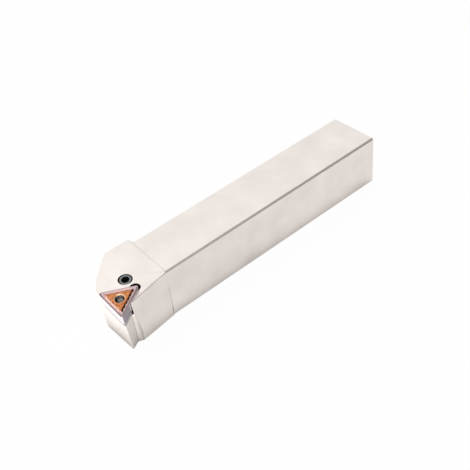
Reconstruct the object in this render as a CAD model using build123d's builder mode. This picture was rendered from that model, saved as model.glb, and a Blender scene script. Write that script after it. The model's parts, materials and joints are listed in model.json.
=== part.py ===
from build123d import *
import os
from math import cos, radians, sin, tan

# Right-hand external turning holder with a triangular insert clamped by a lever.
# Millimetres. +X runs back along the shank, -Y is the cutting side, +Z is up.
# The origin is on the underside, midway along the clamped length of the shank.

# ---- shank ----
SHANK_H = 25.0            # shank height
SHANK_W = 25.0            # shank width
LENGTH = 150.0            # cutting corner to the back end
CLAMP_MID = 60.0          # back end to the origin
REACH = 32.0              # far side of the shank to the cutting corner
TOP_CHAMFER = 0.85        # long top edges
FOOT_CHAMFER = 0.5        # long bottom edges
END_CHAMFER = 0.6         # edges of the back end

# ---- head ----
HEAD_LEN = 27.4           # bend of the near wall to the cutting corner
HEAD_TOP = 28.0           # height of the blank before the top is milled
FAR_STEP = 1.7            # how far the head stands out on the far side
RAMP_RUN = 1.3            # length of the ramp from shank to head, far side
TOP_RISE = 0.010          # slope of the head's top along the tool
TOP_TILT = 0.030          # slope of the head's top across the tool
NOSE_BLEND = 2.0          # rounding where the front meets the slanted far wall
FAR_RUN = 16.1            # slanted far wall: from here
FAR_BACK = 4.3            # to here, behind the cutting corner
FAR_CORNER = 8.8          # and this far in from the far side
FOOT_FRONT = 3.7          # front wall behind the cutting corner, at the foot
FOOT_CORNER = 9.7         # its far end, in from the far side
CROWN_FRONT = 0.5         # the same two at the height of the blank
CROWN_CORNER = 14.5
# near walls as (behind the cutting corner, out from the shank), towards the front
FOOT_NEAR = ((9.8, 2.2), (7.5, 1.2), (3.7, 3.2))
CROWN_NEAR = ((6.5, 4.0), (6.35, 3.75), (-0.05, 7.4))
GROOVE_W = 0.5            # line where the ground shank meets the milled head
GROOVE_D = 0.25

# ---- insert, shim and their seat ----
LEAD = 1.0                # turns the front cutting edge out of square
RAKE = 5.0                # forward tilt of the seat
INCLINE = 5.0             # sideways tilt of the seat
INSCRIBED = 9.525         # inscribed circle of the insert
INSERT_T = 4.76
CORNER_R = 0.8
HOLE_D = 3.81
HOLE_MOUTH_D = 4.5        # flare at each mouth of the insert's hole
LAND_W = 0.35             # flat land behind each cutting edge
BREAKER_W = 1.75          # edge to the foot of the raised middle
BREAKER_D = 0.30          # depth of the chip groove
SHIM_T = 3.18
SHIM_INSET = 0.6          # shim edge behind the insert edge
NOTCH_R = 2.28
NOTCH_BACK = 8.15         # drilled corner relief, behind the insert's axis
NOTCH_IN = 1.37           # and towards the far side

# ---- sleeve that keeps the shim ----
SLEEVE_R = 3.0
SLEEVE_BORE_R = 2.2
SLEEVE_DEPTH = 3.0        # below the seat
SLEEVE_SLIT = 1.0

# ---- lever and its screw ----
LEVER_W = 3.2
ARM_R = 1.3
KNOB_R = 1.5
KNOB_SET = 0.35           # knob off the insert's axis when clamped
KNOB_TOP = 6.6            # above the seat
HEEL_DEPTH = 8.0          # below the seat
HEEL_SET = 0.4            # heel off the insert's axis, the lever rocks on it
HEEL_R = 0.9
TONGUE_TOP = -5.4
TONGUE_FOOT = -7.5
CAVITY_GAP = 0.3          # each side of the lever
SCREW_BACK = 13.5         # screw behind the cutting corner
SCREW_IN = 15.75          # and across from it
SCREW_R = 3.0
SCREW_GAP = 0.05
NECK_R = 2.0
NECK_PLAY = 0.46          # room for the tongue as the lever rocks
SCREW_TOP = 5.75          # above the seat, about level with the holder
SCREW_FOOT = -11.0
SOCKET_AF = 3.0
SOCKET_DEPTH = 2.8
SCREW_EDGE = 0.6          # chamfer on each end of the screw
KNOB_EDGE = 0.4           # chamfer on the lever's knob
ACCESS_R = 2.2            # key hole from the underside

os.makedirs("parts", exist_ok=True)

# ---- derived places ----
back_x = CLAMP_MID
tip_x = back_x - LENGTH
near_y = -SHANK_W / 2
far_y = SHANK_W / 2
tip_y = far_y - REACH
bend_x = tip_x + HEAD_LEN
slope_x = tan(radians(RAKE))
slope_y = tan(radians(INCLINE))
edge = INSCRIBED * tan(radians(60))

up = Vector(-slope_x, -slope_y, 1).normalized()
front = Vector(-cos(radians(LEAD)), sin(radians(LEAD)), 0)
front = (front - up * front.dot(up)).normalized()
side = up.cross(front)
nose = Vector(tip_x + CORNER_R, tip_y + CORNER_R, 0)
centre = nose - front * (INSCRIBED / 2 - CORNER_R) - side * (edge / 2 - CORNER_R * tan(radians(60)))
rise = slope_x * (centre.X - tip_x) + slope_y * (centre.Y - tip_y)
centre = Vector(centre.X, centre.Y, SHANK_H + rise)

insert_top = Plane(origin=centre, x_dir=front, z_dir=up)
insert_foot = insert_top.offset(-INSERT_T)
seat = insert_top.offset(-INSERT_T - SHIM_T)

screw_x = tip_x + SCREW_BACK
screw_y = tip_y + SCREW_IN
seat_rise = slope_x * (screw_x - seat.origin.X) + slope_y * (screw_y - seat.origin.Y)
screw_seat = Vector(screw_x, screw_y, seat.origin.Z + seat_rise)
pull = (screw_seat - seat.origin).normalized()
screw_u = (screw_seat - seat.origin).length
lever_plane = Plane(origin=seat.origin, x_dir=pull, z_dir=pull.cross(up))
screw_plane = Plane(origin=screw_seat, x_dir=pull, z_dir=up)
rock_axis = Axis(origin=(0, 0, 0), direction=pull.cross(up))


# ---- head of the holder, before the pocket is milled ----
crown_rise = TOP_TILT * (SHANK_W + FAR_STEP)
top_dir = Vector(TOP_RISE, -TOP_TILT, 1)
bend_top = Vector(bend_x, near_y, SHANK_H)
ramp_foot = Vector(bend_x + RAMP_RUN, far_y, SHANK_H)
ramp_crown = Vector(bend_x, far_y + FAR_STEP, SHANK_H + crown_rise)
ramp_dir = (ramp_foot - bend_top).cross(ramp_crown - bend_top)

with BuildPart() as head_blank:
    with BuildSketch(Plane.XY):
        with BuildLine():
            Polyline(
                *[(tip_x + back, near_y - out) for back, out in FOOT_NEAR],
                (tip_x + FOOT_FRONT, far_y - FOOT_CORNER),
                (tip_x + FAR_BACK, far_y - FAR_CORNER),
                (tip_x + FAR_RUN, far_y + FAR_STEP),
                (bend_x, far_y + FAR_STEP),
                (bend_x + RAMP_RUN, far_y),
                (bend_x, near_y),
                close=True,
            )
        make_face()
    with BuildSketch(Plane.XY.offset(HEAD_TOP)):
        with BuildLine():
            Polyline(
                *[(tip_x + back, near_y - out) for back, out in CROWN_NEAR],
                (tip_x + CROWN_FRONT, far_y - CROWN_CORNER),
                (tip_x + FAR_BACK, far_y - FAR_CORNER),
                (tip_x + FAR_RUN, far_y + FAR_STEP),
                (bend_x, far_y + FAR_STEP),
                (bend_x + RAMP_RUN, far_y),
                (bend_x, near_y),
                close=True,
            )
        make_face()
    loft(ruled=True)
    ribs = head_blank.edges().filter_by(lambda rib: abs(rib.center().Z - HEAD_TOP / 2) < 1)
    fillet(ribs.sort_by(Axis.X)[:3].sort_by(Axis.Y)[1:], NOSE_BLEND)
    split(bisect_by=Plane(origin=bend_top, z_dir=top_dir), keep=Keep.BOTTOM)
    split(bisect_by=Plane(origin=bend_top, z_dir=ramp_dir), keep=Keep.BOTTOM)

# ---- holder body ----
with BuildPart() as holder_body:
    with BuildSketch(Plane.YZ.offset(bend_x)):
        with Locations((0, SHANK_H / 2)):
            shank_face = Rectangle(SHANK_W, SHANK_H)
        chamfer(shank_face.vertices().group_by(Axis.Y)[-1], TOP_CHAMFER)
        chamfer(shank_face.vertices().group_by(Axis.Y)[0], FOOT_CHAMFER)
    extrude(amount=back_x - bend_x)
    chamfer(holder_body.faces().sort_by(Axis.X)[-1].edges(), END_CHAMFER)
    add(head_blank.part)
    # shallow line at the bend, deepest at the foot and run out at two thirds of the height
    with BuildSketch(Plane.XY):
        with BuildLine():
            Polyline(
                (bend_x - GROOVE_W / 2, near_y - 0.1),
                (bend_x + GROOVE_W / 2, near_y - 0.1),
                (bend_x, near_y + GROOVE_D),
                close=True,
            )
        make_face()
    with BuildSketch(Plane.XY.offset(0.8 * SHANK_H)):
        with BuildLine():
            Polyline(
                (bend_x - 0.05, near_y - 0.1),
                (bend_x + 0.05, near_y - 0.1),
                (bend_x, near_y),
                close=True,
            )
        make_face()
    loft(ruled=True, mode=Mode.SUBTRACT)
    # pocket, open to the front and to the near side of its free corner
    with BuildSketch(seat):
        with BuildLine():
            Polyline(
                (-INSCRIBED, 0),
                (-INSCRIBED + 30 * cos(radians(30)), 15),
                (-INSCRIBED + 30 * cos(radians(30)), -15),
                close=True,
            )
        make_face()
        with Locations((-NOTCH_BACK, -NOTCH_IN)):
            Circle(NOTCH_R)
    extrude(amount=14, mode=Mode.SUBTRACT)
    # bore for the sleeve, then the cavity of the lever below it
    with BuildSketch(seat):
        Circle(SLEEVE_R + 0.02)
    extrude(amount=-SLEEVE_DEPTH, mode=Mode.SUBTRACT)
    with BuildSketch(lever_plane):
        with BuildLine():
            Polyline(
                (-2.4, -SLEEVE_DEPTH),
                (-2.4, -HEEL_DEPTH + 1.2),
                (-1.2, -HEEL_DEPTH - 0.02),
                (screw_u, -HEEL_DEPTH - 0.02),
                (screw_u, -SLEEVE_DEPTH - 1.2),
                (2.4, -SLEEVE_DEPTH),
                close=True,
            )
        make_face()
    extrude(amount=LEVER_W / 2 + CAVITY_GAP, both=True, mode=Mode.SUBTRACT)
    # hole of the lever screw, with the key hole that reaches it from below
    with BuildSketch(screw_plane.offset(SCREW_FOOT - 0.8)):
        Circle(SCREW_R + SCREW_GAP)
    extrude(amount=24, mode=Mode.SUBTRACT)
    with BuildSketch(screw_plane):
        Circle(ACCESS_R)
    extrude(amount=-26, mode=Mode.SUBTRACT)

# ---- insert ----
with BuildPart() as insert:
    with BuildSketch(insert_top):
        outline = RegularPolygon(radius=INSCRIBED, side_count=3, rotation=180)
        fillet(outline.vertices(), CORNER_R)
    extrude(amount=-INSERT_T)
    for mouth in (insert_top, Plane(origin=insert_foot.origin, x_dir=front, z_dir=-up)):
        with BuildSketch(mouth):
            groove = RegularPolygon(radius=INSCRIBED - 2 * LAND_W, side_count=3, rotation=180)
            fillet(groove.vertices(), CORNER_R - LAND_W)
            middle = RegularPolygon(
                radius=INSCRIBED - 2 * BREAKER_W, side_count=3, rotation=180, mode=Mode.SUBTRACT
            )
            with PolarLocations(INSCRIBED - 2 * BREAKER_W - 0.9, 3, start_angle=60):
                Circle(0.95, mode=Mode.SUBTRACT)
            for spot in (-2.1, 2.1):
                for turn in (0, 120, 240):
                    with BuildSketch(Plane.XY.rotated((0, 0, turn)), mode=Mode.SUBTRACT):
                        with Locations((INSCRIBED / 2 - BREAKER_W, spot)):
                            Circle(0.55)
        extrude(amount=-BREAKER_D, mode=Mode.SUBTRACT)
    with BuildSketch(insert_top):
        Circle(HOLE_D / 2)
    extrude(amount=-INSERT_T, mode=Mode.SUBTRACT)
    rims = insert.edges().filter_by(GeomType.CIRCLE)
    rims = rims.filter_by(lambda rim: abs(rim.radius - HOLE_D / 2) < 1e-4)
    chamfer(rims, length=(HOLE_MOUTH_D - HOLE_D) / 2)

# ---- shim under the insert ----
with BuildPart() as shim:
    with BuildSketch(seat):
        plate = RegularPolygon(radius=INSCRIBED - 2 * SHIM_INSET, side_count=3, rotation=180)
        fillet(plate.vertices(), CORNER_R + 0.2)
        Circle(SLEEVE_R + 0.02, mode=Mode.SUBTRACT)
    extrude(amount=SHIM_T)
    chamfer(shim.faces().filter_by(seat).sort_by(Axis.Z)[-1].outer_wire().edges(), 0.25)

# ---- slit spring sleeve that keeps the shim in place ----
with BuildPart() as shim_sleeve:
    with BuildSketch(seat.offset(SHIM_T - 0.2)):
        Circle(SLEEVE_R)
        Circle(SLEEVE_BORE_R, mode=Mode.SUBTRACT)
        with Locations((SLEEVE_R, 0)):
            Rectangle(2 * SLEEVE_R, SLEEVE_SLIT, mode=Mode.SUBTRACT)
    extrude(amount=-(SHIM_T - 0.2 + SLEEVE_DEPTH))

# ---- lever ----
with BuildPart() as lever:
    with BuildSketch(lever_plane):
        with BuildLine():
            Polyline(
                (KNOB_SET - 1.5, -3.6),
                (KNOB_SET + 1.7, -3.6),
                (screw_u - 3.2, TONGUE_TOP),
                (screw_u - NECK_R - 0.08, TONGUE_TOP),
                (screw_u - NECK_R - 0.08, TONGUE_FOOT),
                (screw_u - 4.2, TONGUE_FOOT),
                (HEEL_SET + 0.8 * HEEL_R, -HEEL_DEPTH + 0.4 * HEEL_R),
                (HEEL_SET - HEEL_R, -HEEL_DEPTH + HEEL_R),
                (KNOB_SET - 1.9, -6.2),
                close=True,
            )
        make_face()
        with Locations((HEEL_SET, -HEEL_DEPTH + HEEL_R)):
            Circle(HEEL_R)
    extrude(amount=LEVER_W / 2, both=True)
    chamfer(lever.edges().filter_by(rock_axis).group_by(Axis.X)[-1], 0.3)
    arm_foot = Plane(origin=seat.origin + pull * KNOB_SET, x_dir=pull, z_dir=up)
    with BuildSketch(arm_foot.offset(-4.4)):
        Circle(ARM_R)
    extrude(amount=4.4 + KNOB_TOP - 0.3)
    with BuildSketch(arm_foot.offset(KNOB_TOP - 1.6)):
        Circle(KNOB_R)
    extrude(amount=1.6)
    crown = lever.faces().sort_by(Axis(origin=(0, 0, 0), direction=up))[-1]
    chamfer(crown.edges(), KNOB_EDGE)

# ---- lever screw ----
with BuildPart() as lever_screw:
    with BuildSketch(screw_plane.offset(SCREW_FOOT)):
        Circle(SCREW_R)
    extrude(amount=SCREW_TOP - SCREW_FOOT)
    chamfer(lever_screw.edges().filter_by(GeomType.CIRCLE), SCREW_EDGE)
    with BuildSketch(screw_plane.offset(TONGUE_TOP + NECK_PLAY)):
        Circle(SCREW_R + 1)
        Circle(NECK_R, mode=Mode.SUBTRACT)
    extrude(amount=TONGUE_FOOT - TONGUE_TOP - NECK_PLAY - 0.15, mode=Mode.SUBTRACT)
    for end, way in ((SCREW_TOP, -1), (SCREW_FOOT, 1)):
        with BuildSketch(screw_plane.offset(end)):
            RegularPolygon(radius=SOCKET_AF / 2, side_count=6, major_radius=False)
        extrude(amount=way * SOCKET_DEPTH, mode=Mode.SUBTRACT)

holder_body.part.label = "holder_body"
insert.part.label = "insert"
shim.part.label = "shim"
shim_sleeve.part.label = "shim_sleeve"
lever.part.label = "lever"
lever_screw.part.label = "lever_screw"

export_step(holder_body.part, "parts/holder_body.step")
export_step(insert.part, "parts/insert.step")
export_step(shim.part, "parts/shim.step")
export_step(shim_sleeve.part, "parts/shim_sleeve.step")
export_step(lever.part, "parts/lever.step")
export_step(lever_screw.part, "parts/lever_screw.step")
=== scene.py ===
"""Looks of a square-shank turning tool holder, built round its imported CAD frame.

Every piece is modelled in millimetres in the frame of its own seat, and is then
set into the row frame, in metres, with its place in its mesh.
"""

import json
import logging
import math
from dataclasses import dataclass
from enum import Enum, IntEnum
from typing import Any, Callable, Optional

import bmesh
import bpy
from mathutils import Euler, Matrix, Vector

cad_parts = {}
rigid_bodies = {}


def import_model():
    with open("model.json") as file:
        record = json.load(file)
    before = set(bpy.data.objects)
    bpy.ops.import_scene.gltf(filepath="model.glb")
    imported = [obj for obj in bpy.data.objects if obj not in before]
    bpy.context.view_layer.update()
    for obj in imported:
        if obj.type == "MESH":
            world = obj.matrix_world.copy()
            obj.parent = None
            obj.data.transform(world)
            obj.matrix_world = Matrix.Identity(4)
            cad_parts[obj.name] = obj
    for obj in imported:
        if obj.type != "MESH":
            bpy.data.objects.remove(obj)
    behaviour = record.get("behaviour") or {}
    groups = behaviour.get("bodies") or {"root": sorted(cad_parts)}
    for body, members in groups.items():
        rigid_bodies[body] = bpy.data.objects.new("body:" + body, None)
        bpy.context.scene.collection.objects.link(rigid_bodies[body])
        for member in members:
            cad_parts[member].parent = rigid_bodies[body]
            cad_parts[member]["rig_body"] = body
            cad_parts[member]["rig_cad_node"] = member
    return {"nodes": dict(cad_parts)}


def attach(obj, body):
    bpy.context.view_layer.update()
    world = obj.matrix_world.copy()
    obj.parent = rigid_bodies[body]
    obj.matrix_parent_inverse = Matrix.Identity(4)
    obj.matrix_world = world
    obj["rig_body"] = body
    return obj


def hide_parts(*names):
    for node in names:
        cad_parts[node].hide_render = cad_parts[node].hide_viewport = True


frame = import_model()

LOG = logging.getLogger("tool_holder")
MM = 0.001
SIDES_DEG = (0, 120, 240)  # where the insert's three sides face in its own frame
LEVEL = 0.99  # a face whose normal has at least this z lies level
WHITE = (1, 1, 1, 1)
Tree = bpy.types.NodeTree
Socket = bpy.types.NodeSocket
Node = bpy.types.Node
Material = bpy.types.Material
Piece = bpy.types.Object
Values = Optional[dict[Any, Any]]


# ---------------------------------------------------------------- small tools


class Pick(Enum):
    """What an edit-mode selection is made of, with its table in a bmesh."""

    VERTS = ("VERT", "verts")
    EDGES = ("EDGE", "edges")
    FACES = ("FACE", "faces")


def linear(code: str) -> tuple[float, float, float, float]:
    """Turns an sRGB hex colour into linear light.

    Args:
        code: Six hex digits, such as "D9D4CE".

    Returns:
        Red, green, blue and an alpha of 1.
    """
    parts = [int(code[i : i + 2], 16) / 255 for i in (0, 2, 4)]
    lit = [c / 12.92 if c <= 0.04045 else ((c + 0.055) / 1.055) ** 2.4 for c in parts]
    return (lit[0], lit[1], lit[2], 1.0)


def clear_selection() -> None:
    """Leaves every object deselected, in object mode."""
    if bpy.context.object is not None and bpy.context.object.mode != "OBJECT":
        bpy.ops.object.mode_set(mode="OBJECT")
    bpy.ops.object.select_all(action="DESELECT")


def focus(piece: Piece) -> None:
    """Makes one object the only selected and the active one.

    Args:
        piece: The object to work on.
    """
    clear_selection()
    piece.select_set(True)
    bpy.context.view_layer.objects.active = piece


def pick(piece: Piece, kind: Pick, test: Callable[[Any], bool]) -> int:
    """Selects what passes a test, in edit mode, and nothing else.

    Args:
        piece: The object in edit mode.
        kind: Vertices, edges or faces.
        test: Says of one element whether it is wanted.

    Returns:
        How many were selected.
    """
    mode, table = kind.value
    bpy.ops.mesh.select_mode(type=mode)
    bpy.ops.mesh.select_all(action="DESELECT")
    mesh = bmesh.from_edit_mesh(piece.data)
    wanted = [item for item in getattr(mesh, table) if test(item)]
    for item in wanted:
        item.select_set(True)
    mesh.select_flush_mode()
    bmesh.update_edit_mesh(piece.data)
    return len(wanted)


def middle(edge: Any) -> Vector:
    """Gives the middle of a bmesh edge.

    Args:
        edge: The edge.

    Returns:
        The point halfway between its ends.
    """
    return (edge.verts[0].co + edge.verts[1].co) / 2


def climb(edge: Any) -> float:
    """Gives how much higher one end of a bmesh edge is than the other.

    Args:
        edge: The edge.

    Returns:
        The difference in height, never negative.
    """
    return abs(edge.verts[0].co.z - edge.verts[1].co.z)


def apply_modifier(piece: Piece, kind: str, **settings: Any) -> None:
    """Adds a modifier with its settings and applies it.

    Args:
        piece: The object to change.
        kind: Blender's name of the modifier type.
        **settings: Its properties.
    """
    focus(piece)
    modifier = piece.modifiers.new(kind.lower(), kind)
    for name, value in settings.items():
        setattr(modifier, name, value)
    bpy.ops.object.modifier_apply(modifier=modifier.name)


def cut(piece: Piece, tool: Piece, operation: str = "DIFFERENCE") -> None:
    """Cuts or joins one solid with another and removes the second.

    Args:
        piece: The object that stays.
        tool: The object that is used up.
        operation: DIFFERENCE, UNION or INTERSECT.
    """
    apply_modifier(piece, "BOOLEAN", object=tool, operation=operation, solver="EXACT")
    bpy.data.objects.remove(tool)


def keep_place() -> None:
    """Moves the selected object's place, turn and size into its mesh."""
    bpy.ops.object.transform_apply(location=True, rotation=True, scale=True)


def placing(axes: tuple[Vector, Vector, Vector], at: Vector) -> Matrix:
    """Gives the matrix from a seat's millimetres to the row frame.

    Args:
        axes: The seat's three directions.
        at: Its origin, in millimetres of the row frame.

    Returns:
        The matrix.
    """
    turn = Matrix(axes).transposed().to_4x4()
    return Matrix.Translation(at * MM) @ turn @ Matrix.Scale(MM, 4)


def seat_in_row(piece: Piece, place: Matrix) -> None:
    """Takes a piece from the millimetres of its seat to the row frame.

    Args:
        piece: The finished piece, modelled about the origin.
        place: The seat's matrix, from millimetres to metres.
    """
    focus(piece)
    piece.matrix_world = place
    keep_place()


def smooth(piece: Piece, degrees: float) -> None:
    """Shades a piece smooth, apart from edges sharper than an angle.

    Args:
        piece: The object to shade.
        degrees: The sharpest angle that stays smooth.
    """
    focus(piece)
    bpy.ops.object.shade_smooth_by_angle(angle=math.radians(degrees))


# ---------------------------------------------------------------- materials


class Course(Enum):
    """How a value runs between the two ends of a range."""

    STRAIGHT = "LINEAR"
    SOFT = "SMOOTHSTEP"


class Mixed(Enum):
    """What a mix node mixes, with the numbers of its two inputs and its output."""

    COLOUR = ("RGBA", 6, 7, 2)
    VALUE = ("FLOAT", 2, 3, 0)


def add_node(tree: Tree, kind: str, settings: Values = None, inputs: Values = None) -> Node:
    """Adds a node with its settings, and its inputs as values or links.

    Args:
        tree: The node tree.
        kind: The node's type, such as ShaderNodeBump.
        settings: Properties of the node.
        inputs: Socket name or number to a value, or to an output to link.

    Returns:
        The new node.
    """
    node = tree.nodes.new(kind)
    for name, value in (settings or {}).items():
        setattr(node, name, value)
    for name, value in (inputs or {}).items():
        if isinstance(value, Socket):
            tree.links.new(value, node.inputs[name])
        else:
            node.inputs[name].default_value = value
    return node


def blank_material(name: str) -> tuple[Material, Tree]:
    """Makes a material with an empty node tree.

    Args:
        name: What the material is.

    Returns:
        The material and its tree.
    """
    material = bpy.data.materials.new(name)
    material.use_nodes = True
    material.node_tree.nodes.clear()
    return material, material.node_tree


def calc(tree: Tree, operation: str, *values: Any) -> Socket:
    """Adds a sum, product or comparison.

    Args:
        tree: The node tree.
        operation: Blender's name of the operation.
        *values: Numbers, or outputs to link.

    Returns:
        The result's socket.
    """
    node = add_node(tree, "ShaderNodeMath", {"operation": operation}, dict(enumerate(values)))
    return node.outputs[0]


def ramp(
    tree: Tree,
    value: Socket,
    marks: tuple[float, float],
    levels: tuple[float, float] = (0.0, 1.0),
    course: Course = Course.SOFT,
) -> Socket:
    """Turns a value between two marks into one between two levels.

    Args:
        tree: The node tree.
        value: The value that is read.
        marks: Where the ramp starts and ends.
        levels: What it gives up to its start and from its end on.
        course: How it runs in between.

    Returns:
        The result's socket.
    """
    node = add_node(
        tree,
        "ShaderNodeMapRange",
        {"interpolation_type": course.value},
        {
            "Value": value,
            "From Min": marks[0],
            "From Max": marks[1],
            "To Min": levels[0],
            "To Max": levels[1],
        },
    )
    return node.outputs["Result"]


def blend(
    tree: Tree, share: Any, first: Any, second: Any, kind: Mixed = Mixed.COLOUR
) -> Socket:
    """Mixes two colours or two values.

    Args:
        tree: The node tree.
        share: How much of the second is in the mix.
        first: The first colour or value.
        second: The second one.
        kind: Which of the two they are.

    Returns:
        The mix's socket.
    """
    data_type, low, high, out = kind.value
    node = add_node(
        tree, "ShaderNodeMix", {"data_type": data_type}, {0: share, low: first, high: second}
    )
    return node.outputs[out]


def mix_shaders(tree: Tree, share: Socket, first: Node, second: Node) -> Node:
    """Mixes two shaders.

    Args:
        tree: The node tree.
        share: How much of the second is in the mix.
        first: The first shader.
        second: The second one.

    Returns:
        The mix.
    """
    shaders = {0: share, 1: first.outputs[0], 2: second.outputs[0]}
    return add_node(tree, "ShaderNodeMixShader", None, shaders)


def streaks(tree: Tree, size_mm: tuple[float, float, float], detail: float = 2.0) -> Socket:
    """Adds a noise whose cells have a real size along three axes.

    Args:
        tree: The material's tree.
        size_mm: Length of a cell along each axis.
        detail: Octaves of the noise.

    Returns:
        The noise value, about 0.5 on average.
    """
    place = add_node(tree, "ShaderNodeTexCoord")
    sized = add_node(
        tree,
        "ShaderNodeMapping",
        {"vector_type": "POINT"},
        {
            "Vector": place.outputs["Object"],
            "Scale": tuple(1 / (MM * length) for length in size_mm),
        },
    )
    noise = add_node(
        tree,
        "ShaderNodeTexNoise",
        None,
        {"Vector": sized.outputs["Vector"], "Scale": 1.0, "Detail": detail, "Roughness": 0.55},
    )
    return noise.outputs["Fac"]


def openness(tree: Tree, reach_mm: float, marks: tuple[float, float]) -> Socket:
    """Gives 0 where other surfaces are close by and 1 in the open.

    Args:
        tree: The node tree.
        reach_mm: How far away a surface still counts.
        marks: Open shares that give 0 and 1.

    Returns:
        The value's socket.
    """
    near = add_node(
        tree, "ShaderNodeAmbientOcclusion", {"samples": 8}, {"Distance": reach_mm * MM}
    )
    return ramp(tree, near.outputs["AO"], marks)


@dataclass(frozen=True)
class MarkedSurface:
    """A bare metal surface whose gloss and relief follow its fine marks."""

    roughness: float
    spread: float = 0.06
    strength: float = 0.3
    marks: tuple[float, float] = (0.3, 0.7)
    depth_mm: float = 0.02

    def close(self, tree: Tree, colour: Socket, noise: Socket) -> None:
        """Ends a material's tree with this surface.

        Args:
            tree: The material's tree.
            colour: Its colour.
            noise: The pattern of its marks.
        """
        levels = (self.roughness - self.spread, self.roughness + self.spread)
        gloss = ramp(tree, noise, self.marks, levels, Course.STRAIGHT)
        relief = {"Height": noise, "Strength": self.strength, "Distance": self.depth_mm * MM}
        bump = add_node(tree, "ShaderNodeBump", None, relief)
        looks = {
            "Base Color": colour,
            "Metallic": 1.0,
            "Roughness": gloss,
            "Normal": bump.outputs["Normal"],
        }
        shader = add_node(tree, "ShaderNodeBsdfPrincipled", None, looks)
        add_node(tree, "ShaderNodeOutputMaterial", None, {"Surface": shader.outputs[0]})


@dataclass(frozen=True)
class NickelPlatedSteel:
    """Ground steel under a satin nickel plate.

    The plate is a pale warm grey and blurs what it mirrors. The grinding shows through
    it as faint lines along the shank, and the plating as a fine even grain.
    """

    name: str = "satin_nickel_plate"
    pale: str = "F1EAE4"
    dull: str = "E6DED8"
    line_mm: tuple[float, float, float] = (26.0, 0.35, 0.35)
    grain_mm: float = 0.45
    cloud_mm: float = 14.0
    cloud_marks: tuple[float, float] = (0.3, 0.7)
    surface: MarkedSurface = MarkedSurface(0.40, 0.05, 0.25, (0.7, 1.3))

    def build(self) -> Material:
        """Makes the material.

        Returns:
            The material.
        """
        material, tree = blank_material(self.name)
        lines = streaks(tree, self.line_mm)
        grain = streaks(tree, (self.grain_mm,) * 3, detail=3.0)
        clouds = streaks(tree, (self.cloud_mm,) * 3)
        tone = ramp(tree, clouds, self.cloud_marks, course=Course.STRAIGHT)
        colour = blend(tree, tone, linear(self.dull), linear(self.pale))
        self.surface.close(tree, colour, calc(tree, "ADD", lines, grain))
        return material


@dataclass(frozen=True)
class PlainMetal:
    """A small machined piece in one metal, with fine marks and a little wear."""

    name: str
    bright: str
    dark: str
    roughness: float
    mark_mm: float = 0.3
    marks_in_cloud: int = 8

    def build(self) -> Material:
        """Makes the material.

        Returns:
            The material.
        """
        material, tree = blank_material(self.name)
        marks = streaks(tree, (self.mark_mm,) * 3, detail=3.0)
        clouds = streaks(tree, (self.marks_in_cloud * self.mark_mm,) * 3)
        colour = blend(tree, clouds, linear(self.dark), linear(self.bright))
        MarkedSurface(self.roughness).close(tree, colour, marks)
        return material


BLACK_OXIDE = PlainMetal("black_oxide_steel", "5A5C5C", "2E3030", 0.38)
SPRING_STEEL = PlainMetal("hardened_spring_steel", "A6A7A4", "7F817F", 0.35)
LEVER_STEEL = PlainMetal("hardened_lever_steel", "8C8A84", "5A5854", 0.42)
WORN_STEEL = PlainMetal("oxide_worn_to_steel", "888C8C", "626666", 0.30)
# Painted shade: the dark tone of the line in the holder's long inner corners.
CREASE_SHADE_PLATE = PlainMetal("crease_shade_nickel_plate", "8A7C76", "5E524C", 0.45)
# Painted shade: the darker tone of the chamfers and broken edges along the top.
CHAMFER_SHADE_PLATE = PlainMetal("chamfer_shade_nickel_plate", "DCD2CA", "CEC4BC", 0.40)
# Painted shade: the dark tone of the walls of the corner relief and the screw bore.
RECESS_SHADE_PLATE = PlainMetal("recess_shade_dark", "3E3432", "2A2220", 0.50)
GROUND_CARBIDE = PlainMetal("ground_carbide", "B8B6B8", "9C9A9C", 0.42, mark_mm=0.2)


# ---------------------------------------------------------------- frames of the head


@dataclass(frozen=True)
class Pocket:
    """The tilted seat of the insert, in millimetres of the row frame.

    Its x runs square to the front cutting edge, its z is the top face's normal.
    """

    corner: tuple[float, float, float] = (-90.0, -19.5, 25.0)
    corner_radius: float = 0.8
    lead_deg: float = 1.0
    rake_deg: float = 5.0
    incline_deg: float = 5.0
    inscribed: float = 9.525
    insert_t: float = 4.76
    shim_t: float = 3.18

    def rise(self, back: float, inward: float) -> float:
        """Gives how much the tilted seat rises over a distance.

        Args:
            back: Distance along the shank, away from the front.
            inward: Distance across the shank, away from the cutting side.

        Returns:
            The rise, in millimetres.
        """
        along = math.tan(math.radians(self.rake_deg)) * back
        return along + math.tan(math.radians(self.incline_deg)) * inward

    def axes(self) -> tuple[Vector, Vector, Vector]:
        """Gives the pocket's front, side and up directions.

        Returns:
            Three unit vectors, square to each other.
        """
        up = Vector((-self.rise(1, 0), -self.rise(0, 1), 1)).normalized()
        lead = math.radians(self.lead_deg)
        front = Vector((-math.cos(lead), math.sin(lead), 0))
        front = (front - up * front.dot(up)).normalized()
        return front, up.cross(front), up

    def top_centre(self) -> Vector:
        """Gives the middle of the insert's top face.

        Returns:
            The point, in millimetres of the row frame.
        """
        front, side, _ = self.axes()
        edge = self.inscribed * math.tan(math.radians(60))
        radius = self.corner_radius
        nose = Vector((self.corner[0] + radius, self.corner[1] + radius, 0))
        flat = (
            nose
            - front * (self.inscribed / 2 - radius)
            - side * (edge / 2 - radius * math.tan(math.radians(60)))
        )
        rise = self.rise(flat.x - self.corner[0], flat.y - self.corner[1])
        return Vector((flat.x, flat.y, self.corner[2] + rise))

    def seat(self) -> Matrix:
        """Gives the matrix from the insert's millimetres to the row frame.

        Returns:
            The matrix.
        """
        return placing(self.axes(), self.top_centre())


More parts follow.
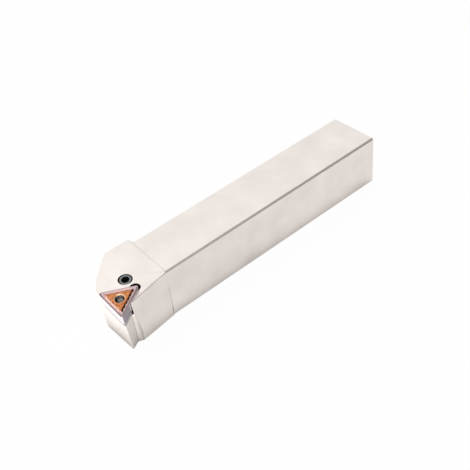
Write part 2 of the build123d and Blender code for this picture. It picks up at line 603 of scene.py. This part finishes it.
@dataclass(frozen=True)
class CoatedCarbide:
    """Sintered carbide under a thin interference coating.

    The coating is bronze on the raised middle, with a band of painted shade toward the second
    side and a band of painted highlight along the front, and a purple grey on the rim and the
    flanks.
    The flanks' pale grey is a painted light tone; the free part of the second flank has painted
    shade, darkest where it goes behind the wall. It is smooth, so it mirrors more sharply than
    the holder. Each pair of numbers is where one tone ends and the next is full, or a band's
    two sides, in millimetres of the insert.
    """

    pocket: Pocket
    name: str = "bronze_coated_carbide"
    bronze: str = "AC683E"
    pale_bronze: str = "C27E52"
    # painted shade: the dark band on the raised middle toward the second side
    second_side_shade: str = "4C2818"
    # painted highlight: the pale band on the raised middle along the front side
    bright: str = "F0C8B8"
    # painted shadow where the second flank goes behind the pocket wall
    wall_shadow: str = "2C2628"
    rose: str = "C49C92"
    violet: str = "9E8A8E"
    # painted light: the pale flank tone stands for the brightly lit flanks
    lit_flank: str = "E0D4D8"
    # painted shade on the free part of the second flank
    shaded_flank: str = "94898F"
    mouth: str = "E8C4A0"
    surface: MarkedSurface = MarkedSurface(0.20)
    grain_mm: float = 0.25
    cloud_mm: float = 1.3
    wander: float = 1.2
    pale_clouds: tuple[float, float] = (0.42, 0.62)
    rose_from: tuple[float, float] = (3.35, 3.75)
    second_side_shade_band: tuple[float, float] = (2.85, 3.65)
    front_highlight_band: tuple[float, float] = (3.05, 3.5)
    violet_from: tuple[float, float] = (4.1, 4.45)
    corner_from: tuple[float, float] = (6.0, 7.2)
    mouth_to: tuple[float, float] = (2.2, 2.4)
    top_from: tuple[float, float] = (-0.55, -0.35)
    trailing_from: tuple[float, float] = (4.5, 4.7)
    free_from: tuple[float, float] = (1.0, 2.0)
    free_deg: float = 30.0
    wall_shadow_band: tuple[float, float] = (0.2, 0.85)
    soft: float = 0.25

    def local(self, tree: Tree) -> Socket:
        """Gives the point in the insert's own millimetres.

        Args:
            tree: The material's tree.

        Returns:
            The point's socket.
        """
        place, turn, _ = self.pocket.seat().decompose()
        coordinate = add_node(tree, "ShaderNodeTexCoord")
        mapped = add_node(
            tree,
            "ShaderNodeMapping",
            {"vector_type": "TEXTURE"},
            {
                "Vector": coordinate.outputs["Object"],
                "Location": place,
                "Rotation": turn.to_euler(),
                "Scale": (MM, MM, MM),
            },
        )
        return mapped.outputs["Vector"]

    def toward(self, tree: Tree, x: Socket, y: Socket, degrees: float) -> Socket:
        """Measures a point along one direction in the insert's plane.

        Args:
            tree: The material's tree.
            x: The point's x.
            y: The point's y.
            degrees: The direction, from x toward y.

        Returns:
            The distance's socket.
        """
        across = calc(tree, "MULTIPLY", x, math.cos(math.radians(degrees)))
        along = calc(tree, "MULTIPLY", y, math.sin(math.radians(degrees)))
        return calc(tree, "ADD", across, along)

    def band(self, tree: Tree, value: Socket, marks: tuple[float, float]) -> Socket:
        """Gives 1 between two marks and 0 outside them, with soft ends.

        Args:
            tree: The material's tree.
            value: The value that is read.
            marks: Where the band starts and where it fades.

        Returns:
            The share's socket.
        """
        inner, outer = (ramp(tree, value, (mark, mark + self.soft)) for mark in marks)
        return calc(tree, "MULTIPLY", inner, calc(tree, "SUBTRACT", 1.0, outer))

    def top(self, tree: Tree, x: Socket, y: Socket, sides: list[Socket]) -> Socket:
        """Colours the top: bronze middle, a band of painted shade, a band of painted highlight,
        violet rim and the hole's mouth.

        Args:
            tree: The material's tree.
            x: The point's x.
            y: The point's y.
            sides: Distance toward each side.

        Returns:
            The colour's socket.
        """
        reach = calc(tree, "MAXIMUM", calc(tree, "MAXIMUM", sides[0], sides[1]), sides[2])
        clouds = streaks(tree, (self.cloud_mm,) * 3, detail=3.0)
        wander = calc(tree, "MULTIPLY", calc(tree, "SUBTRACT", clouds, 0.5), self.wander)
        uneven = calc(tree, "ADD", reach, wander)
        squares = [calc(tree, "MULTIPLY", length, length) for length in (x, y)]
        radius = calc(tree, "SQRT", calc(tree, "ADD", *squares))
        pale = ramp(tree, clouds, self.pale_clouds)
        colour = blend(tree, pale, linear(self.bronze), linear(self.pale_bronze))
        colour = blend(tree, ramp(tree, uneven, self.rose_from), colour, linear(self.rose))
        # painted shade toward the second side and painted highlight along the front
        for side, marks, tone in (
            (sides[1], self.second_side_shade_band, self.second_side_shade),
            (sides[0], self.front_highlight_band, self.bright),
        ):
            share = self.band(tree, calc(tree, "ADD", side, wander), marks)
            colour = blend(tree, share, colour, linear(tone))
        for value, marks in ((uneven, self.violet_from), (radius, self.corner_from)):
            colour = blend(tree, ramp(tree, value, marks), colour, linear(self.violet))
        return blend(tree, ramp(tree, radius, self.mouth_to), linear(self.mouth), colour)

    def flanks(self, tree: Tree, x: Socket, y: Socket, side: Socket) -> Socket:
        """Colours the flanks: a pale painted light tone, painted shade where one stands free,
        and a darker painted shadow where it goes behind the wall.

        Args:
            tree: The material's tree.
            x: The point's x.
            y: The point's y.
            side: Distance toward the side that stands free in part.

        Returns:
            The colour's socket.
        """
        along = self.toward(tree, x, y, self.free_deg)
        trailing = ramp(tree, side, self.trailing_from)
        free = calc(tree, "MULTIPLY", trailing, ramp(tree, along, self.free_from))
        # painted shade on the free part of the second flank
        colour = blend(tree, free, linear(self.lit_flank), linear(self.shaded_flank))
        # painted shadow where that flank goes behind the wall
        wall_shadow = calc(tree, "MULTIPLY", trailing, self.band(tree, along, self.wall_shadow_band))
        return blend(tree, wall_shadow, colour, linear(self.wall_shadow))

    def build(self) -> Material:
        """Makes the material.

        Returns:
            The material.
        """
        material, tree = blank_material(self.name)
        parts = add_node(tree, "ShaderNodeSeparateXYZ", None, {0: self.local(tree)})
        x, y, z = parts.outputs
        sides = [self.toward(tree, x, y, degrees) for degrees in SIDES_DEG]
        below = self.flanks(tree, x, y, sides[1])
        above = self.top(tree, x, y, sides)
        colour = blend(tree, ramp(tree, z, self.top_from), below, above)
        self.surface.close(tree, colour, streaks(tree, (self.grain_mm,) * 3, detail=3.0))
        return material


# ---------------------------------------------------------------- the studio


@dataclass(frozen=True)
class SoftBox:
    """A square soft light that looks at the origin, in metres and watts."""

    name: str
    place: tuple[float, float, float]
    size: float
    power: float

    def hang(self) -> None:
        """Adds the light to the scene."""
        data = bpy.data.lights.new(self.name, "AREA")
        data.shape = "SQUARE"
        data.size = self.size
        data.energy = self.power
        lamp = bpy.data.objects.new(self.name, data)
        lamp.location = self.place
        lamp.rotation_euler = (-Vector(self.place)).to_track_quat("-Z", "Y").to_euler()
        bpy.context.scene.collection.objects.link(lamp)


@dataclass
class Studio:
    """A pale sweep under soft light, and the camera."""

    camera_mm: tuple[float, float, float] = (-189.477, -230.894, 259.595)
    camera_deg: tuple[float, float, float] = (48.6077, 5.1345, -41.2400)
    lens_mm: float = 65.89
    sensor_mm: float = 36.0
    clip_m: tuple[float, float] = (0.01, 20.0)
    floor_m: float = 6.0
    gap_mm: float = 0.02
    open_mm: float = 0.5
    paper: str = "EFEEEC"
    seen_white: float = 0.95
    mirrored_white: float = 0.7
    # painted contact shadow on the floor at the holder's foot, seen in reflections
    foot_mm: float = 10.0
    foot_marks: tuple[float, float] = (0.1, 0.95)
    # painted pool of light on the floor before the head, seen in reflections
    front_mm: tuple[float, float] = (-86.0, -96.0)
    front_glow: float = 1.7
    dim_toward: tuple[float, float, float] = (0.80, -0.45, 0.38)
    dim_marks: tuple[float, float] = (0.72, 0.87)
    dim_light: float = 0.35
    boxes: tuple[SoftBox, ...] = (
        SoftBox("key", (-0.35, 0.45, 0.75), 1.2, 1.5),
        SoftBox("fill", (-0.6, -0.5, 0.6), 0.6, 1.0),
    )

    def camera(self) -> None:
        """Sets the camera at the viewing angle."""
        data = bpy.data.cameras.new("camera")
        data.lens = self.lens_mm
        data.sensor_width = self.sensor_mm
        data.clip_start = self.clip_m[0]
        data.clip_end = self.clip_m[1]
        stand = bpy.data.objects.new("camera", data)
        stand.location = Vector(self.camera_mm) * MM
        stand.rotation_euler = Euler([math.radians(angle) for angle in self.camera_deg])
        bpy.context.scene.collection.objects.link(stand)
        bpy.context.scene.camera = stand

    def floor_glow(self, tree: Tree) -> Socket:
        """Gives how brightly metal sees the floor: a painted contact shadow at its foot and a
        painted pool of light before the head, both seen only in reflections.

        Args:
            tree: The floor's tree.

        Returns:
            The strength's socket.
        """
        clear = openness(tree, self.foot_mm, self.foot_marks)
        place = add_node(tree, "ShaderNodeTexCoord")
        parts = add_node(tree, "ShaderNodeSeparateXYZ", None, {0: place.outputs["Object"]})
        marks = (self.front_mm[0] * MM, self.front_mm[1] * MM)
        front = ramp(tree, parts.outputs[0], marks, (1.0, self.front_glow))
        return calc(tree, "MULTIPLY", clear, front)

    def paper_sheet(self) -> Material:
        """Makes the floor's paper, which is plain white to the camera.

        It lets through the rays of pieces that lie on it and those from below, so the
        underside of the holder can be seen too.

        Returns:
            The material.
        """
        material, tree = blank_material("white_paper")
        rays = add_node(tree, "ShaderNodeLightPath").outputs
        seen = rays["Is Camera Ray"]
        sheet = add_node(
            tree, "ShaderNodeBsdfDiffuse", None, {"Color": linear(self.paper), "Roughness": 0.0}
        )
        level = blend(tree, seen, self.floor_glow(tree), 1.0, Mixed.VALUE)
        glow = add_node(tree, "ShaderNodeEmission", None, {"Color": WHITE, "Strength": level})
        bright = calc(tree, "MULTIPLY", seen, self.seen_white)
        share = calc(tree, "MULTIPLY_ADD", rays["Is Glossy Ray"], self.mirrored_white, bright)
        mixed = mix_shaders(tree, share, sheet, glow)
        short = calc(tree, "LESS_THAN", rays["Ray Length"], self.open_mm * MM)
        behind = add_node(tree, "ShaderNodeNewGeometry").outputs["Backfacing"]
        nothing = add_node(tree, "ShaderNodeBsdfTransparent")
        surface = mix_shaders(tree, calc(tree, "MAXIMUM", short, behind), mixed, nothing)
        add_node(tree, "ShaderNodeOutputMaterial", None, {"Surface": surface.outputs[0]})
        return material

    def sweep(self) -> None:
        """Lays the pale floor."""
        clear_selection()
        bpy.ops.mesh.primitive_plane_add(size=self.floor_m, location=(0, 0, -self.gap_mm * MM))
        floor = bpy.context.object
        floor.name = "floor"
        floor.data.materials.append(self.paper_sheet())

    def world(self) -> None:
        """Lights the studio evenly, with one dim quarter to the right of the camera."""
        world = bpy.data.worlds.new("studio")
        world.use_nodes = True
        tree = world.node_tree
        tree.nodes.clear()
        place = add_node(tree, "ShaderNodeTexCoord")
        facing = add_node(
            tree,
            "ShaderNodeVectorMath",
            {"operation": "DOT_PRODUCT"},
            {0: place.outputs["Generated"], 1: Vector(self.dim_toward).normalized()},
        )
        light = ramp(tree, facing.outputs["Value"], self.dim_marks, (1.0, self.dim_light))
        seen = add_node(tree, "ShaderNodeLightPath").outputs["Is Camera Ray"]
        strength = blend(tree, seen, light, 1.0, Mixed.VALUE)
        shell = add_node(
            tree, "ShaderNodeBackground", None, {"Color": WHITE, "Strength": strength}
        )
        add_node(tree, "ShaderNodeOutputWorld", None, {"Surface": shell.outputs[0]})
        bpy.context.scene.world = world

    def build(self) -> None:
        """Sets up camera, floor, world and lamps."""
        self.camera()
        self.sweep()
        self.world()
        for box in self.boxes:
            box.hang()
        bpy.context.scene.view_settings.view_transform = "Standard"


# ---------------------------------------------------------------- the pieces


def dress(piece: Piece, *materials: Material) -> None:
    """Gives a piece its materials, in place of any that it has.

    Args:
        piece: The object.
        *materials: One for each slot.
    """
    piece.data.materials.clear()
    for material in materials:
        piece.data.materials.append(material)


def paint(piece: Piece, slot: int, test: Callable[[Any], bool]) -> None:
    """Gives the faces that pass a test the material of one slot.

    Args:
        piece: The object, with its materials in place.
        slot: Number of the material.
        test: Says of a face whether it is wanted.
    """
    focus(piece)
    bpy.ops.object.mode_set(mode="EDIT")
    pick(piece, Pick.FACES, test)
    piece.active_material_index = slot
    bpy.ops.object.material_slot_assign()
    bpy.ops.object.mode_set(mode="OBJECT")


def finish_piece(piece: Piece, node: str, body: str) -> None:
    """Lets a piece stand for its CAD node and move with its body.

    Args:
        piece: The finished piece, in the row frame.
        node: The CAD node that it replaces.
        body: The CAD body that it rides on.
    """
    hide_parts(node)
    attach(piece, body)
    LOG.info("%s: %d faces", piece.name, len(piece.data.polygons))


class Coat(IntEnum):
    """The material slots of the holder's body; its faces start as plate."""

    PLATE = 0
    # painted shade in long upright inner corners
    OIL = 1
    # painted shade on the chamfers along the top
    EDGE = 2
    # painted shade on the walls of the corner relief and the bore
    BORE = 3


@dataclass
class HolderBody:
    """The one-piece steel body: shank and head, with its sharp edges broken.

    Lengths are in millimetres of the row frame; the notch is in those of the insert.
    """

    pocket: Pocket
    finish: NickelPlatedSteel = NickelPlatedSteel()
    join_mm: float = 0.001
    flat_deg: float = 0.3
    smooth_deg: float = 40.0
    flat_mm2: float = 12.0
    rim_break: float = 0.4
    rim_length: float = 15.0
    rim_within: tuple[float, float, float] = (-63.0, -13.0, 24.5)
    edge_break: float = 0.3
    break_segments: int = 3
    shortest_edge: float = 1.5
    sharpest_deg: float = 25.0
    back_x: float = 58.9
    seat_gap: float = 0.3
    # The line of painted shade in inner corners: its width, least length and least angle.
    crease_shade_width: float = 0.12
    crease_shade_length: float = 8.0
    crease_shade_deg: float = 20.0
    upright: float = 0.8
    # Faces that take the painted shade of the top chamfers: least slope and least distance from
    # the middle.
    chamfer_shade_slope: float = 0.93
    chamfer_shade_y: float = 11.0
    notch: tuple[float, float] = (-8.15, -1.37)
    notch_r: float = 2.28
    bore: tuple[float, float] = (-76.5, -3.75)
    bore_r: float = 3.05
    bore_gap: float = 0.2
    bore_tilt: float = 0.6

    def is_shaded_crease(self, edge: Any) -> bool:
        """Tells whether an edge is a long upright inner corner, which takes a line of painted
        shade.

        Args:
            edge: The bmesh edge.

        Returns:
            True if it is one.
        """
        length = edge.calc_length()
        if len(edge.link_faces) != 2 or edge.is_convex or length < self.crease_shade_length * MM:
            return False
        sharp = edge.calc_face_angle() > math.radians(self.crease_shade_deg)
        return sharp and climb(edge) > self.upright * length

    def is_head_rim(self, edge: Any) -> bool:
        """Tells whether an edge is the long one between the head's top and its near side.

        Args:
            edge: The bmesh edge.

        Returns:
            True if it is that one.
        """
        place = middle(edge) / MM
        front, near, high = self.rim_within
        long_corner = edge.is_convex and edge.calc_length() > self.rim_length * MM
        return long_corner and place.x < front and place.y < near and place.z > high

    def wants_break(self, edge: Any) -> bool:
        """Tells whether an edge is a long outer corner.

        Edges of the insert's seat stay sharp, and the back end has chamfers already.

        Args:
            edge: The bmesh edge.

        Returns:
            True if the edge is to be broken.
        """
        if len(edge.link_faces) != 2 or not edge.is_convex:
            return False
        if min(vert.co.x for vert in edge.verts) > self.back_x * MM:
            return False
        if edge.calc_length() < self.shortest_edge * MM:
            return False
        place = self.pocket.seat().inverted() @ middle(edge)
        turns = [math.radians(turn) for turn in SIDES_DEG]
        reach = max(place.x * math.cos(turn) + place.y * math.sin(turn) for turn in turns)
        beside = abs(reach - self.pocket.inscribed / 2) < self.seat_gap
        at_seat = beside and place.z > -self.pocket.insert_t
        return not at_seat and edge.calc_face_angle() > math.radians(self.sharpest_deg)

    def is_worn_or_shaded(self, face: Any) -> bool:
        """Tells whether a face is on a chamfer or broken edge along the top, which takes
        painted shade.

        Args:
            face: The bmesh face.

        Returns:
            True if it is on one.
        """
        slope = (abs(face.normal.y) + face.normal.z) / math.sqrt(2)
        at_edge = abs(face.calc_center_median().y) > self.chamfer_shade_y * MM
        return slope > self.chamfer_shade_slope and at_edge

    def is_bored(self, face: Any) -> bool:
        """Tells whether a face is in the relief drilled at the pocket's corner or the bore,
        whose walls take painted shade.

        Args:
            face: The bmesh face.

        Returns:
            True if it is in one of them.
        """
        if abs(face.normal.z) > self.bore_tilt:
            return False
        centre = face.calc_center_median()
        place = self.pocket.seat().inverted() @ centre
        relief = math.hypot(place.x - self.notch[0], place.y - self.notch[1])
        bore = math.hypot(centre.x / MM - self.bore[0], centre.y / MM - self.bore[1])
        gaps = (abs(relief - self.notch_r), abs(bore - self.bore_r))
        return min(gaps) < self.bore_gap

    def break_edges(self, piece: Piece) -> None:
        """Breaks the outer corners and draws a dark line of painted shade in the inner ones.

        Args:
            piece: The body, active and in edit mode.
        """
        segments = self.break_segments
        pick(piece, Pick.EDGES, self.is_head_rim)
        bpy.ops.mesh.bevel(offset=self.rim_break * MM, segments=segments, affect="EDGES")
        count = pick(piece, Pick.EDGES, self.wants_break)
        bpy.ops.mesh.bevel(offset=self.edge_break * MM, segments=segments, affect="EDGES")
        dark = pick(piece, Pick.EDGES, self.is_shaded_crease)
        bpy.ops.mesh.bevel(offset=self.crease_shade_width * MM, segments=1, affect="EDGES")
        piece.active_material_index = Coat.OIL
        bpy.ops.object.material_slot_assign()
        LOG.info("holder: %d edges broken, %d corners darkened", count, dark)

    def build(self) -> None:
        """Copies the CAD body, breaks its edges and dresses it."""
        focus(frame["nodes"]["holder_body"])
        bpy.ops.object.duplicate()
        piece = bpy.context.object
        piece.name = "holder"
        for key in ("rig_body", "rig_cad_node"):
            del piece[key]
        coats = (CREASE_SHADE_PLATE, CHAMFER_SHADE_PLATE, RECESS_SHADE_PLATE)
        dress(piece, self.finish.build(), *(coat.build() for coat in coats))
        bpy.ops.object.mode_set(mode="EDIT")
        bpy.ops.mesh.select_all(action="SELECT")
        bpy.ops.mesh.remove_doubles(threshold=self.join_mm * MM)
        bpy.ops.mesh.select_all(action="SELECT")
        bpy.ops.mesh.dissolve_limited(angle_limit=math.radians(self.flat_deg))
        self.break_edges(piece)
        bpy.ops.object.mode_set(mode="OBJECT")
        smooth(piece, self.smooth_deg)
        bpy.ops.object.mode_set(mode="EDIT")
        pick(piece, Pick.FACES, lambda face: face.calc_area() > self.flat_mm2 * MM * MM)
        bpy.ops.mesh.faces_shade_flat()
        bpy.ops.object.mode_set(mode="OBJECT")
        paint(piece, Coat.EDGE, self.is_worn_or_shaded)
        paint(piece, Coat.BORE, self.is_bored)
        finish_piece(piece, "holder_body", "holder")


@dataclass
class CuttingInsert:
    """The triangular insert: chip breaker, raised middle and hole, in millimetres.

    Its own x points square to the front edge; the corners are at 180 and +-60 degrees.
    """

    pocket: Pocket
    land: float = 0.20
    wall: float = 0.34
    wall_drop: float = 0.30
    run_out: float = 0.12
    floor_drop: float = 0.12
    nose_segments: int = 8
    middle_in: float = 0.98
    middle_nose: float = 1.6
    middle_segments: int = 3
    middle_sunk: float = 0.03
    teeth: int = 5
    tooth: float = 0.62
    slope: float = 0.42
    hole_d: float = 3.81
    hole_sides: int = 64
    mouth_d: float = 4.40
    mouth_over: float = 0.5
    hone: float = 0.05
    smooth_deg: float = 30.0
    side_gap: float = 0.001
    side_share: float = 0.8

    def prism(
        self, name: str, radius: float, nose: float, segments: int, drop: float = 0.0
    ) -> Piece:
        """Makes a three-sided prism with rounded corners, midway in the insert's height.

        Args:
            name: The object's name.
            radius: Centre to sharp corner.
            nose: Distance from the sharp corner to where the rounding starts.
            segments: Faces of each rounding.
            drop: How far its ends stay inside those of the insert.

        Returns:
            The prism, its top face at height 0 less the drop.
        """
        thick = self.pocket.insert_t - 2 * drop
        clear_selection()
        bpy.ops.mesh.primitive_cylinder_add(
            vertices=3, radius=radius, depth=thick, rotation=(0, 0, math.pi / 2)
        )
        piece = bpy.context.object
        piece.name = name
        piece.location = (0, 0, -self.pocket.insert_t / 2)
        keep_place()
        bpy.ops.object.mode_set(mode="EDIT")
        pick(piece, Pick.EDGES, lambda edge: climb(edge) > thick / 2)
        bpy.ops.mesh.bevel(offset=nose, segments=segments, profile=0.5, affect="EDGES")
        bpy.ops.object.mode_set(mode="OBJECT")
        return piece

    def blank(self) -> Piece:
        """Makes the plate with its land and the groove behind the cutting edges.

        Returns:
            The plate.
        """
        nose = self.pocket.corner_radius / math.tan(math.radians(30))
        plate = self.prism("insert_coated", self.pocket.inscribed, nose, self.nose_segments)
        bpy.ops.object.mode_set(mode="EDIT")
        pick(plate, Pick.FACES, lambda face: abs(face.normal.z) > LEVEL)
        bpy.ops.mesh.inset(thickness=self.land, depth=0)
        bpy.ops.mesh.inset(thickness=self.wall, depth=-self.wall_drop)
        bpy.ops.mesh.inset(thickness=self.run_out, depth=-self.floor_drop)
        bpy.ops.object.mode_set(mode="OBJECT")
        return plate

    def raised_middle(self) -> Piece:
        """Makes the raised middle, its sides notched into teeth.

        Returns:
            The block, a little sunk into the groove's floor on both faces.
        """
        rise = self.wall_drop + self.floor_drop - self.middle_sunk
        radius = self.pocket.inscribed - 2 * self.middle_in
        block = self.prism("middle", radius, self.middle_nose, self.middle_segments, rise)
        inner = self.pocket.inscribed / 2 - self.middle_in
        length = 2 * (inner * math.tan(math.radians(60)) - self.middle_nose)
        cells = 2 * self.teeth
        bpy.ops.object.mode_set(mode="EDIT")
        pick(block, Pick.EDGES, lambda edge: edge.calc_length() > self.side_share * length)
        bpy.ops.mesh.subdivide(number_cuts=cells - 1)
        for degrees in SIDES_DEG:
            turn = math.radians(degrees)
            out = Vector((math.cos(turn), math.sin(turn), 0))
            along = Vector((-out.y, out.x, 0))

            def in_gap(vert: Any) -> bool:
                """Tells whether a bmesh vertex of this side lies between two teeth."""
                place = (vert.co.dot(along) + length / 2) / length * cells
                on_side = vert.co.dot(out) > inner - self.side_gap
                return on_side and 0 < round(place) < cells and round(place) % 2 == 1

            pick(block, Pick.VERTS, in_gap)
            bpy.ops.transform.translate(value=-out * self.tooth)
        pick(block, Pick.FACES, lambda face: abs(face.normal.z) > LEVEL)
        bpy.ops.mesh.inset(thickness=self.slope, depth=rise)
        bpy.ops.object.mode_set(mode="OBJECT")
        return block

    def hole_tool(self) -> Piece:
        """Makes the cutter for the hole with its two flared mouths.

        Returns:
            The cutter.
        """
        flare = (self.mouth_d - self.hole_d) / 2
        grow = self.mouth_d / self.hole_d
        clear_selection()
        bpy.ops.mesh.primitive_cylinder_add(
            vertices=self.hole_sides,
            radius=self.hole_d / 2,
            depth=self.pocket.insert_t - 2 * flare,
            location=(0, 0, -self.pocket.insert_t / 2),
        )
        tool = bpy.context.object
        keep_place()
        bpy.ops.object.mode_set(mode="EDIT")
        for way in (1, -1):
            pick(tool, Pick.FACES, lambda face: face.normal.z * way > LEVEL)
            bpy.ops.mesh.extrude_region_move(
                TRANSFORM_OT_translate={"value": (0, 0, way * flare)}
            )
            bpy.ops.transform.resize(value=(grow, grow, 1))
            bpy.ops.mesh.extrude_region_move(
                TRANSFORM_OT_translate={"value": (0, 0, way * self.mouth_over)}
            )
        bpy.ops.object.mode_set(mode="OBJECT")
        return tool

    def build(self) -> None:
        """Builds the insert, sets it in its pocket and dresses it."""
        piece = self.blank()
        cut(piece, self.raised_middle(), "UNION")
        cut(piece, self.hole_tool())
        apply_modifier(
            piece,
            "BEVEL",
            width=self.hone,
            segments=2,
            limit_method="ANGLE",
            angle_limit=math.radians(self.smooth_deg),
        )
        seat_in_row(piece, self.pocket.seat())
        smooth(piece, self.smooth_deg)
        dress(piece, CoatedCarbide(self.pocket).build())
        finish_piece(piece, "insert", "holder")


@dataclass
class LeverScrew:
    """The screw that works the lever, in millimetres above the seat.

    It has a hexagon socket in each end, a thread above its neck and a collar below it.
    """

    pocket: Pocket
    at: tuple[float, float] = (-76.5, -3.75)
    top: float = 5.75
    foot: float = -11.0
    radius: float = 3.0
    round_sides: int = 60
    edge: float = 0.6
    neck: tuple[float, float] = (-7.65, -4.94)
    neck_in: float = 1.0
    socket: float = 3.0
    socket_depth: float = 2.8
    socket_deg: float = 12.0
    mouth: float = 0.3
    thread: tuple[float, float] = (-4.3, 4.9)
    thread_in: float = 0.5
    thread_steps: int = 30
    pitch: float = 1.0
    ridge: float = 0.58
    ridge_in: float = 0.59
    ridge_start: float = 0.9
    smooth_deg: float = 30.0
    worn_down: float = 0.01
    worn_in: float = 0.05

    def place(self) -> Matrix:
        """Gives the matrix from the screw's millimetres to the row frame.

        Returns:
            The matrix.
        """
        _, _, up = self.pocket.axes()
        seat = self.pocket.top_centre() - up * (self.pocket.insert_t + self.pocket.shim_t)
        rise = self.pocket.rise(self.at[0] - seat.x, self.at[1] - seat.y)
        foot = Vector((self.at[0], self.at[1], seat.z + rise))
        pull = (foot - seat).normalized()
        return placing((pull, up.cross(pull), up), foot)

    def turned(self) -> Piece:
        """Turns the bar with its neck and the root of its thread.

        Returns:
            The bar.
        """
        clear_selection()
        bpy.ops.mesh.primitive_cylinder_add(
            vertices=self.round_sides,
            radius=self.radius,
            depth=self.top - self.foot,
            location=(0, 0, (self.top + self.foot) / 2),
        )
        piece = bpy.context.object
        piece.name = "lever_screw_threaded"
        keep_place()
        bpy.ops.object.mode_set(mode="EDIT")
        pick(piece, Pick.EDGES, lambda edge: climb(edge) < self.edge)
        bpy.ops.mesh.bevel(offset=self.edge, segments=1, affect="EDGES")
        for height in (*self.neck, *self.thread):
            bpy.ops.mesh.select_all(action="SELECT")
            bpy.ops.mesh.bisect(plane_co=(0, 0, height), plane_no=(0, 0, 1))
        for (low, high), depth in ((self.neck, self.neck_in), (self.thread, self.thread_in)):
            pick(piece, Pick.FACES, lambda face: low < face.calc_center_median().z < high)
            bpy.ops.mesh.inset(thickness=0.0, depth=-depth)
        bpy.ops.object.mode_set(mode="OBJECT")
        return piece

    def winding(self) -> Piece:
        """Winds the thread from a small triangle.

        Returns:
            The thread, as a closed solid.
        """
        turns = int((self.thread[1] - self.thread[0]) / self.pitch) - 1
        start = self.thread[0] + self.pitch * self.ridge_start
        clear_selection()
        bpy.ops.mesh.primitive_circle_add(
            vertices=3, radius=self.ridge, rotation=(math.pi / 2, math.pi / 2, 0)
        )
        piece = bpy.context.object
        piece.location = (self.radius - self.ridge_in, 0, start)
        keep_place()
        apply_modifier(
            piece,
            "SCREW",
            screw_offset=self.pitch,
            iterations=turns,
            steps=self.thread_steps,
            render_steps=self.thread_steps,
            use_normal_calculate=True,
        )
        focus(piece)
        bpy.ops.object.mode_set(mode="EDIT")
        bpy.ops.mesh.select_all(action="SELECT")
        bpy.ops.mesh.fill_holes(sides=4)
        bpy.ops.mesh.normals_make_consistent(inside=False)
        bpy.ops.object.mode_set(mode="OBJECT")
        return piece

    def sink_sockets(self, piece: Piece) -> None:
        """Sinks a hexagon socket with a conical mouth in each end.

        Args:
            piece: The screw.
        """
        corner = self.socket / math.sqrt(3)
        for end, way in ((self.top, -1), (self.foot, 1)):
            clear_selection()
            bpy.ops.mesh.primitive_cylinder_add(
                vertices=6,
                radius=corner,
                depth=2 * self.socket_depth,
                location=(0, 0, end),
                rotation=(0, 0, math.radians(self.socket_deg)),
            )
            cut(piece, bpy.context.object)
            clear_selection()
            bpy.ops.mesh.primitive_cone_add(
                vertices=self.round_sides,
                radius1=corner - way * self.mouth,
                radius2=corner + way * self.mouth,
                depth=2 * self.mouth,
                location=(0, 0, end),
                rotation=(math.pi, 0, 0),
            )
            cut(piece, bpy.context.object)

    def is_worn_or_shaded(self, face: Any) -> bool:
        """Tells whether a face is on the rim of the upper end, where the oxide is worn.

        Args:
            face: The bmesh face, in the screw's millimetres.

        Returns:
            True if it is on the rim.
        """
        low = min(vert.co.z for vert in face.verts)
        far = max(vert.co.xy.length for vert in face.verts)
        at_end = low > self.top - self.edge - self.worn_down
        return at_end and far > self.radius - self.edge - self.worn_in

    def build(self) -> None:
        """Builds the screw, sets it in its hole and dresses it."""
        piece = self.turned()
        self.sink_sockets(piece)
        winding = self.winding()
        clear_selection()
        winding.select_set(True)
        piece.select_set(True)
        bpy.context.view_layer.objects.active = piece
        bpy.ops.object.join()
        smooth(piece, self.smooth_deg)
        dress(piece, BLACK_OXIDE.build(), WORN_STEEL.build())
        paint(piece, 1, self.is_worn_or_shaded)
        seat_in_row(piece, self.place())
        finish_piece(piece, "lever_screw", "clamp_screw")


@dataclass
class ClampParts:
    """The pieces under the insert: shim, sleeve and lever."""

    def build(self) -> None:
        """Dresses the CAD nodes."""
        nodes = frame["nodes"]
        dress(nodes["shim"], GROUND_CARBIDE.build())
        dress(nodes["shim_sleeve"], SPRING_STEEL.build())
        dress(nodes["lever"], LEVER_STEEL.build())
        LOG.info("clamp parts dressed")


def main() -> None:
    """Builds the studio and every piece in order."""
    logging.basicConfig(level=logging.INFO, format="%(name)s: %(message)s")
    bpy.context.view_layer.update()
    Studio().build()
    HolderBody(Pocket()).build()
    CuttingInsert(Pocket()).build()
    ClampParts().build()
    LeverScrew(Pocket()).build()


if __name__ == "__main__":
    main()
